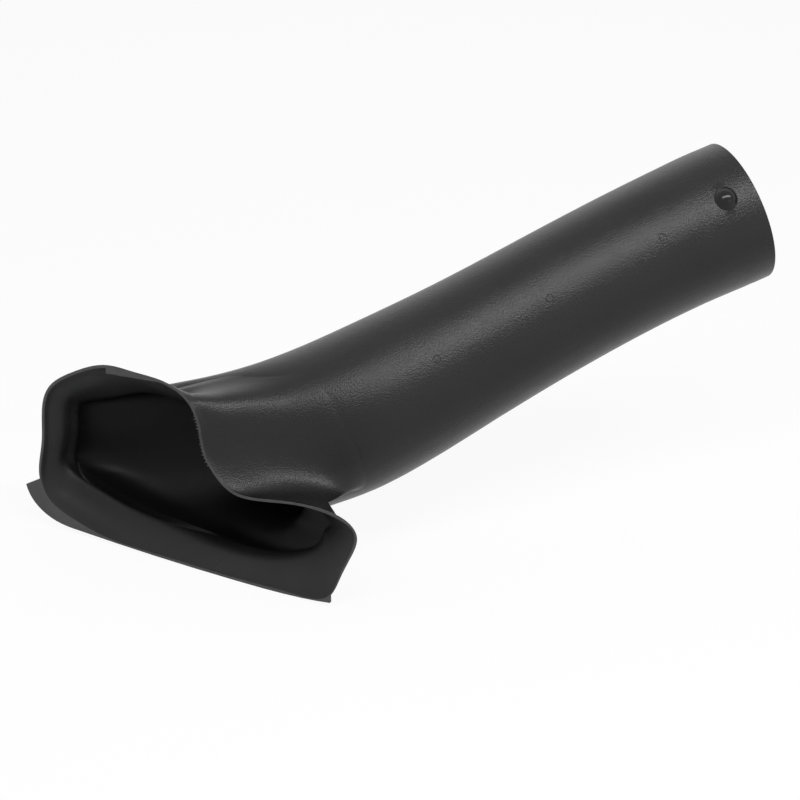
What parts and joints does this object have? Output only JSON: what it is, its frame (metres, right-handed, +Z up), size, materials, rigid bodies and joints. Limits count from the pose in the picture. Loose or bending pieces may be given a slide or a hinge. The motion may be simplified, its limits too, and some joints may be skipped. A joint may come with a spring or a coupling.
{
  "type": "lawn mower chute",
  "caption": "Moulded plastic lawn mower chute: a wide flared mouth for the deck's side outlet, narrowing to a round tube that rises to a collection hood.",
  "frame": {"origin": "on the rim plane of the mouth at the level of the lip, at the mouth's mount", "axes": "+X level, along the tube's plan direction towards the outlet; +Z up as fitted; the mouth's rim is upright and faces back towards -X and -Y"},
  "size_m": [0.7661, 0.3124, 0.3864],
  "materials": {
    "body": "satin"
  },
  "bodies": {
    "root": {"chute": "body"}
  },
  "joints": []
}
